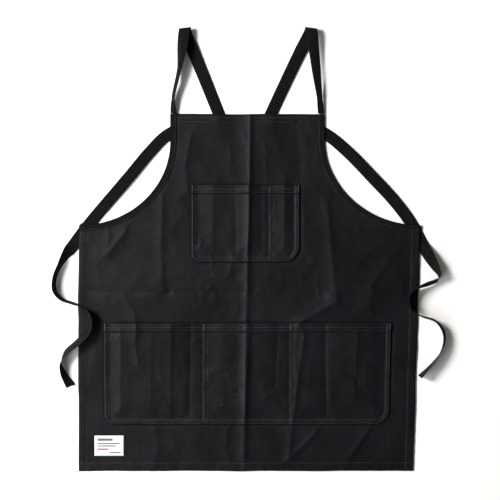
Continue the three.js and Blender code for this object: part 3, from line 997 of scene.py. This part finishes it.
class Pocket:
    """One patch pocket: its outline, its face and its rows of stitches."""

    def __init__(self, node, corners, radii, dividers, creases, puff, mouth):
        self.node = node
        (self.left, self.bottom, _), (self.right, self.top, _) = corners
        self.radii = [r * MM for r in radii]
        self.dividers = [d * MM for d in dividers]
        self.creases = creases
        self.puff = puff * MM
        self.mouth = mouth * MM

    def sides(self, y):
        """The left and right edge at each height."""
        inward = []
        for radius in self.radii:
            drop = np.clip((self.bottom + radius - y) / radius, 0, 1)
            inward.append(radius * (1 - np.sqrt(1 - drop**2)))
        return self.left + inward[0], self.right - inward[1]

    def inset(self, x, y, dividers=()):
        """Distance in from the sewn edge, or from a divider, roughly."""
        left, right = self.sides(y)
        away = np.minimum(np.minimum(x - left, right - x), y - self.bottom)
        for divider in dividers:
            away = np.minimum(away, np.abs(x - divider) + 2 * MM)
        return away

    def face(self, x, y):
        away = np.maximum(self.inset(x, y, self.dividers), 0)
        down = self.top - y
        z = body_face(x, y) + CLOTH + POCKET_GAP
        fill = smooth(6 * MM, 46 * MM, away)
        z = z + self.puff * fill * (0.9 + 0.2 * WAVE_LONG(x + 0.2, y - 0.1))
        z = z + self.mouth * smooth(5 * MM, 60 * MM, away) * bell(down, 50 * MM)
        calm = smooth(3 * MM, 26 * MM, away)
        z = z + calm * crease_height(self.creases, x, y)
        z = z + calm * (0.25 * MM * WAVE_MID(x + 0.3, y) + 0.22 * MM * WAVE_SHORT(y, x))
        z = z + SEAM_PUCKER * 1.6 * WAVE_SEAM(x, y) * bell(away, 9 * MM)
        z = z + MOUTH_HEM * smooth(HEM + 2.2 * MM, HEM - 0.2 * MM, down)
        z = z - SEAM_PUCKER * bell(down - HEM - 1.5 * MM, 1.8 * MM)
        return z + self.rim(x, y) - 0.35 * MM * bell(away - 6.5 * MM, 2.4 * MM)

    def rim(self, x, y):
        """The edge is turned under and stands up as a rounded rim."""
        outer = self.inset(x, y)
        lit = smooth(30 * MM, 12 * MM, x - self.left) * smooth(8 * MM, 30 * MM, y - self.bottom)
        height = RIM - RIM_LOSS * lit
        rounding = 0.55 + 0.45 * smooth(0, 2.2 * MM, outer)
        return height * smooth(12 * MM, 6.5 * MM, outer) * rounding

    def build(self):
        radius = max(self.radii)
        foot = self.bottom + radius * (1 - np.cos(np.linspace(0, math.pi / 2, 14)))
        body = steps(self.bottom + radius, self.top, POCKET_STEP)
        levels = np.concatenate([foot[:-1], body])
        columns = int((self.right - self.left) / POCKET_STEP)
        x, y = pattern_grid(levels, *self.sides(levels), columns)
        down = self.top - y
        away = np.maximum(self.inset(x, y, self.dividers), 0)
        wear_and_shade = wear_of(self.creases, x, y) + 0.6 * wear_of(BODY_CREASES, x, y)
        wear_and_shade = wear_and_shade + 0.34 * np.exp(-away / RUB) + 0.30 * np.exp(-down / RUB)
        # Painted shade under the step of the mouth's hem, as negative values.
        wear_and_shade = np.clip(wear_and_shade - 1.2 * bell(down - HEM - 1.2 * MM, 1.3 * MM), -1, 1)
        thickness = CLOTH + self.rim(x, y)
        piece = closed_sheet(
            self.node + "_cloth", *lie(x, y), self.face(x, y), thickness, waxed_canvas(), wear_and_shade
        )
        sew_on(piece, ROOT, self.node)
        self.sew()
        self.tacks()

    def edge_path(self, inset):
        """The line of a row of stitches down one side, along the foot and up the other."""
        left, right, bottom = self.left + inset, self.right - inset, self.bottom + inset
        r0, r1 = (max(r - inset, 3 * MM) for r in self.radii)
        quarter = np.linspace(0, math.pi / 2, 12)
        top = self.top - 1.5 * MM
        x = [left, *(left + r0 - r0 * np.cos(quarter)), *(right - r1 + r1 * np.sin(quarter)), right]
        y = [top, *(bottom + r0 - r0 * np.sin(quarter)), *(bottom + r1 - r1 * np.cos(quarter)), top]
        fine = resampled(np.stack([x, y, np.zeros(len(x))], -1), 2 * MM)
        return on_face(fine[:, 0], fine[:, 1], self.face), UP

    def sew(self):
        rows = [self.edge_path(inset) for inset in POCKET_ROWS]
        for down in MOUTH_ROWS:
            y = self.top - down
            rows.append(straight(self.left + 3 * MM, y, self.right - 3 * MM, y, self.face))
        for divider in self.dividers:
            for x in (divider - DIVIDER_ROW, divider + DIVIDER_ROW):
                rows.append(straight(x, self.top - 2 * MM, x, self.bottom + 3 * MM, self.face))
        sew_on(stitching(self.node + "_stitching", rows), ROOT)

    def tacks(self):
        """Dense cross stitches at the pocket's mouth."""
        for number in range(1, len(self.dividers) + 3):
            node = f"{self.node}_bartack_{number}"
            low, high = span(node)
            x = (low[0] + high[0]) / 2
            rows = []
            for k, y in enumerate(steps(low[1] + 1 * MM, high[1] - 1 * MM, 0.8 * MM)):
                tilt = 0.25 * MM * (-1) ** k
                ends = [x - TACK, x + TACK], [y - tilt, y + tilt]
                rows.append((on_face(*ends, self.face, 0.25 * MM), UP))
            sew_on(stitching(node + "_stitches", rows), ROOT, node)


# Operators -------------------------------------------------------------------

SENSOR = 36.0
CAMERA_OVER = (0.0053, 0.090)  # the place that the camera is above
# Each light's size, its place, what it is turned to and its colour.
KEY_LIGHT = (1.0, (-2.15, 0.75, 2.1), (0, 0.05, 0), (1.0, 0.99, 0.975))
FILL_LIGHT = (1.8, (-2.0, -1.3, 1.7), (0, -0.2, 0), (1.0, 1.0, 1.0))
WARM_SKY = (1.0, 0.955, 0.905, 1)
HALF_FLOOR = 6.0
FLOOR_LEVEL = -0.4 * MM


def area_light(name, power, size, place, aim, colour):
    """A square light at a place, turned to its aim."""
    data = bpy.data.lights.new(name, "AREA")
    data.energy = power
    data.shape = "SQUARE"
    data.size = size
    data.color = colour
    light = bpy.data.objects.new(name, data)
    light.location = place
    light.rotation_euler = (light.location - Vector(aim)).to_track_quat("Z", "Y").to_euler()
    bpy.context.scene.collection.objects.link(light)


class APRON_OT_stage(bpy.types.Operator):
    """Makes the camera, the lights and the pale floor"""

    bl_idname = "apron.stage"
    bl_label = "Make Stage"

    def execute(self, context):
        scene = context.scene
        stage = scene.apron_stage
        camera_data = bpy.data.cameras.new("camera")
        camera_data.lens = stage.lens
        camera_data.sensor_width = SENSOR
        camera_data.clip_end = 50
        camera = bpy.data.objects.new("camera", camera_data)
        camera.location = (*CAMERA_OVER, stage.field * stage.lens / SENSOR)
        scene.collection.objects.link(camera)
        scene.camera = camera
        area_light("key_light", stage.key_power, *KEY_LIGHT)
        area_light("fill_light", stage.fill_power, *FILL_LIGHT)

        world = bpy.data.worlds.new("studio")
        world.use_nodes = True
        background = world.node_tree.nodes["Background"]
        background.inputs["Color"].default_value = WARM_SKY
        background.inputs["Strength"].default_value = stage.sky
        scene.world = world
        scene.view_settings.view_transform = "Standard"

        half = HALF_FLOOR
        corners = [(-half, -half, 0), (half, -half, 0), (half, half, 0), (-half, half, 0)]
        floor = new_object("floor", corners, [(0, 1, 2, 3)], paper_floor())
        floor.location.z = FLOOR_LEVEL
        return {"FINISHED"}


class APRON_OT_straps(bpy.types.Operator):
    """Makes both straps, with their shoulder loops, back runs and waist ties"""

    bl_idname = "apron.straps"
    bl_label = "Make Straps"

    def execute(self, context):
        width = context.scene.apron_tape.width
        straps = [("left", "right", LEFT_STRAP, -1), ("right", "left", RIGHT_STRAP, 1)]
        for side, other, route, sign in straps:
            strap = self.cord(f"{side}_shoulder_strap", "object", route, 0, KEEPER_POINT, sign)
            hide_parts(f"{side}_shoulder_loop", f"{side}_back_run")
            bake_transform(strap)

            last = len(route) - 1
            tie = self.cord(f"{other}_waist_tie", "bare", route, KEEPER_POINT, last, sign, True)
            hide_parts(f"{other}_tie")
            mouth = np.array(route[MOUTH_POINT][:3]) * MM
            onward = np.array(route[MOUTH_POINT + 1][:3]) * MM - mouth
            onward[2] = 0
            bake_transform(tie)
            stitches = end_stitches(f"{other}_tie_end_stitches", route, last, width / 2 - 3 * MM)
            sew_on(stitches, f"{other}_tie")
        return {"FINISHED"}

    def cord(self, name, far_end, *run):
        piece, path, length = tape_piece(name, *run)
        return piece


class APRON_OT_body(bpy.types.Operator):
    """Makes the body of the apron with its creases, its hems and their stitching"""

    bl_idname = "apron.body"
    bl_label = "Make Cloth Body"

    def execute(self, context):
        step = context.scene.apron_cloth.step
        arc = ARMHOLE_TOP - ARMHOLE_DEPTH * np.sin(np.linspace(math.pi / 2, 0, 70))
        skirt = steps(-HALF_LENGTH, CORNER_Y, step)[:-1]
        levels = np.concatenate([skirt, arc, steps(ARMHOLE_TOP, HALF_LENGTH, step)[1:]])
        half = armhole_half_width(levels)
        x, y = pattern_grid(levels, -half, half, int(2 * HALF_WIDTH / step))
        edge = np.minimum(HALF_WIDTH - np.abs(x), HALF_LENGTH - np.abs(y))
        wear_and_shade = np.clip(wear_of(BODY_CREASES, x, y) + 0.1 * np.exp(-edge / (2.0 * MM)), 0, 1)
        # Painted shade beside the pockets and the label takes the place of the wear there, as
        # negative values.
        edge_shade = edge_shade_of(x, y)
        wear_and_shade = wear_and_shade * (1 - edge_shade) - edge_shade
        body = closed_sheet("cloth_body", *lie(x, y), body_face(x, y), CLOTH, waxed_canvas(), wear_and_shade)
        hems = self.hems()
        width, length = 2 * HALF_WIDTH, 2 * HALF_LENGTH
        notch = HALF_WIDTH - HALF_BIB
        armholes = notch * (math.pi / 2 * ARMHOLE_DEPTH + 2 * (HALF_LENGTH - ARMHOLE_TOP))
        width * length - armholes
        sew_on(body, ROOT, "body_panel")
        self.stitch()
        return {"FINISHED"}

    def hems(self):
        """The turned edges, which lie under the body."""
        made = []
        foot = -HALF_LENGTH + HEM
        bib = span("top_hem")[1][0]
        areas = {
            "bottom_hem": (-HALF_WIDTH, HALF_WIDTH, -HALF_LENGTH, foot),
            "left_side_hem": (-HALF_WIDTH, -HALF_WIDTH + HEM, foot + 0.4 * MM, SIDE_HEM_TOP),
            "right_side_hem": (HALF_WIDTH - HEM, HALF_WIDTH, foot + 0.4 * MM, SIDE_HEM_TOP),
            "top_hem": (-bib, bib, HALF_LENGTH - HEM, HALF_LENGTH),
        }
        for node, (x0, x1, y0, y1) in areas.items():
            x, y = pattern_grid(steps(y0, y1, 3 * MM), x0, x1, max(7, int((x1 - x0) / (3 * MM))))
            z = body_face(x, y) - CLOTH - 0.15 * MM
            thickness = 0.8 * MM if node == "top_hem" else np.minimum(1.7 * MM, z - 0.15 * MM)
            wear_and_shade = 0 * x + 0.2
            piece = closed_sheet(node + "_turn", *lie(x, y), z, thickness, waxed_canvas(), wear_and_shade)
            sew_on(piece, ROOT, node)
            made.append(piece)
        return made

    def stitch(self):
        side, foot = HALF_WIDTH - HEM, -HALF_LENGTH + HEM
        bib = HALF_BIB - 14 * MM
        lines = [(-HALF_WIDTH + 2 * MM, foot, HALF_WIDTH - 2 * MM, foot)]
        lines += [(x, -HALF_LENGTH + 2 * MM, x, CORNER_Y - 16 * MM) for x in (-side, side)]
        lines += [(-bib, HALF_LENGTH - down, bib, HALF_LENGTH - down) for down in (HEM, 8 * MM)]
        rows = [straight(*line, body_face) for line in lines]
        sew_on(stitching("hem_stitching", rows), ROOT)


RIPPLE = 0.15 * MM
RIPPLE_LENGTH = 6.2 * MM


class APRON_OT_bindings(bpy.types.Operator):
    """Makes the tape that binds both armholes, folded over the cloth's edge"""

    bl_idname = "apron.bindings"
    bl_label = "Make Armhole Bindings"

    def execute(self, context):
        tape = context.scene.apron_tape
        depth = tape.width / 2
        thick = tape.thickness * 0.8
        reach = CLOTH / 2 + 0.2 * MM
        faces = [self.section(radius, depth) for radius in (reach + thick, reach)]
        shift, height, share = (np.append(a, b[::-1]) for a, b in zip(*faces))
        half = np.linspace(-depth, depth, len(shift) // 2)
        over = np.append(half, half[::-1])

        turn = np.linspace(0, math.pi / 2, 84)
        lead = np.linspace(HALF_LENGTH, ARMHOLE_TOP, 20)[:-1]
        curve = HALF_WIDTH - (HALF_WIDTH - HALF_BIB) * np.cos(turn)
        edge_x = np.append(np.full(len(lead), HALF_BIB), curve)
        edge_y = np.append(lead, ARMHOLE_TOP - ARMHOLE_DEPTH * np.sin(turn))
        for side, name in ((-1, "left"), (1, "right")):
            path = np.stack([edge_x * side, edge_y], -1)
            along = unit(np.gradient(path, axis=0))
            out = np.stack([along[:, 1], -along[:, 0]], -1) * -side
            distance = run_lengths(path)[:, None]
            ripple = RIPPLE * np.sin(distance / RIPPLE_LENGTH)
            rings = self.points(path, out, shift, height + ripple * share)
            uvs = np.stack(np.broadcast_arrays(distance, over), -1)
            piece = swept(f"{name}_binding_tape", rings, strap_tape(), uvs)
            sew_on(piece, ROOT, f"{name}_armhole_binding")
            row = self.points(path, out, np.array([-depth + 2.2 * MM]), reach + thick - CLOTH / 2)
            sewn = stitching(f"{name}_binding_stitching", [(row[:, 0], UP)])
            sew_on(sewn, ROOT)
        return {"FINISHED"}

    def section(self, radius, depth):
        """One face of the folded tape: how far out and up it is, and its share of the ripple."""
        inner = np.linspace(-depth, -1.0 * MM, 6)
        bend = np.radians(np.linspace(90, -90, 7))
        shift = np.concatenate([inner, -0.5 * MM + radius * np.cos(bend), inner[::-1]])
        rise = np.concatenate([np.full(6, radius), radius * np.sin(bend), np.full(6, -radius)])
        share = np.append(-inner / depth, np.zeros(len(bend) + len(inner)))
        return shift, rise - CLOTH / 2, share

    def points(self, path, out, shift, height):
        """Points out from the edge by their shift, and up from the cloth's face by their height."""
        line, way = path.T[:, :, None], out.T[:, :, None]
        x, y = line + way * shift
        face_x, face_y = line + way * np.minimum(shift, -1 * MM)
        return np.stack([*lie(x, y), body_face(face_x, face_y) + height], -1)


class APRON_OT_keepers(bpy.types.Operator):
    """Makes the tape bridges that hold the straps at the side corners"""

    bl_idname = "apron.keepers"
    bl_label = "Make Strap Keepers"

    def execute(self, context):
        half_length, bridge = 5 * MM, 14.2 * MM
        places = np.linspace(-bridge, bridge, 21)
        lift = 1.75 * MM * smooth(0.86, 1.0, np.abs(places) / bridge) + 0.72 * MM
        for name, side, over, down, bearing in KEEPERS:
            a = math.radians(bearing)
            across = np.array([math.cos(a), math.sin(a), 0])
            along = np.array([-math.sin(a), math.cos(a), 0])
            flat = np.array([*corner_place(side, over, down), 0]) + np.outer(places, across)
            top = flat + np.outer(lift, UP)
            ring = np.append(top, (top - np.array(UP) * 0.62 * MM)[::-1], axis=0)
            shifts = np.linspace(-half_length, half_length, 6)
            rings = [ring + along * s for s in shifts]
            uvs = [[(s, v) for v in (*places, *places[::-1])] for s in shifts]
            piece = swept(f"{name}_keeper_tape", rings, strap_tape(), uvs)
            sew_on(piece, ROOT, f"{name}_keeper")
        return {"FINISHED"}


class APRON_OT_pockets(bpy.types.Operator):
    """Makes the chest pocket and the lap pocket, sewn down with double rows and bartacks"""

    bl_idname = "apron.pockets"
    bl_label = "Make Pockets"

    def execute(self, context):
        chest, lap = (CHEST_LOW, CHEST_HIGH), (LAP_LOW, LAP_HIGH)
        Pocket("chest_pocket", chest, (20, 34), (48,), CHEST_CREASES, puff=1.6, mouth=1.6).build()
        Pocket("lap_pocket", lap, (20, 32), (-92, 92), LAP_CREASES, puff=1.9, mouth=2.0).build()
        return {"FINISHED"}


LABEL_LIFT = 0.55 * MM
LABEL_INSET = 1.6 * MM  # from the label's edge to its stitches


class APRON_OT_label(bpy.types.Operator):
    """Makes the sewn label with its plain printed bars"""

    bl_idname = "apron.label"
    bl_label = "Make Label"

    def execute(self, context):
        (left, foot, _), (right, head, _) = LABEL_LOW, LABEL_HIGH
        x, y = pattern_grid(steps(foot, head, 1.5 * MM), left, right, 42)
        edge = np.minimum(np.minimum(x - left, right - x), np.minimum(y - foot, head - y))
        z = self.face(x, y) + 0.25 * MM * smooth(2 * MM, 9 * MM, edge) * (1 + WAVE_SHORT(x, y))
        piece = closed_sheet("label_cloth", x, y, z, 0.4 * MM, satin_label())
        sew_on(piece, ROOT, "label")
        x0, y0 = LABEL_LOW[:2] + LABEL_INSET
        x1, y1 = LABEL_HIGH[:2] - LABEL_INSET
        corners = [(x0, y0), (x1, y0), (x1, y1), (x0, y1), (x0, y0)]
        rows = []
        for (ax, ay), (bx, by) in zip(corners[:-1], corners[1:]):
            u, v = np.linspace(ax, bx, 20), np.linspace(ay, by, 20)
            rows.append((np.stack([u, v, self.face(u, v) + 0.1 * MM], -1), UP))
        sew_on(stitching("label_stitching", rows), ROOT)
        return {"FINISHED"}

    def face(self, x, y):
        return body_face(x, y) + LABEL_LIFT


class APRON_PT_panel(bpy.types.Panel):
    """Lists the steps that build the apron"""

    bl_idname = "APRON_PT_panel"
    bl_label = "Apron"
    bl_space_type = "VIEW_3D"
    bl_region_type = "UI"
    bl_category = "Apron"

    def draw(self, context):
        for name, group in GROUPS.items():
            box = self.layout.box()
            for key in group.__annotations__:
                box.prop(getattr(context.scene, name), key)
        for step in STEPS:
            self.layout.operator(step.bl_idname)


GROUPS = {
    "apron_cloth": ClothSettings,
    "apron_tape": TapeSettings,
    "apron_stitch": StitchSettings,
    "apron_stage": StageSettings,
}
STEPS = (
    APRON_OT_stage,
    APRON_OT_straps,
    APRON_OT_body,
    APRON_OT_bindings,
    APRON_OT_keepers,
    APRON_OT_pockets,
    APRON_OT_label,
)
CLASSES = (*GROUPS.values(), *STEPS, APRON_PT_panel)


def register():
    for item in CLASSES:
        bpy.utils.register_class(item)
    for name, group in GROUPS.items():
        setattr(bpy.types.Scene, name, bpy.props.PointerProperty(type=group))


def unregister():
    for name in GROUPS:
        delattr(bpy.types.Scene, name)
    for item in reversed(CLASSES):
        bpy.utils.unregister_class(item)


def main():
    register()
    for step in STEPS:
        group, name = step.bl_idname.split(".")
        getattr(getattr(bpy.ops, group), name)()


if __name__ == "__main__":
    main()
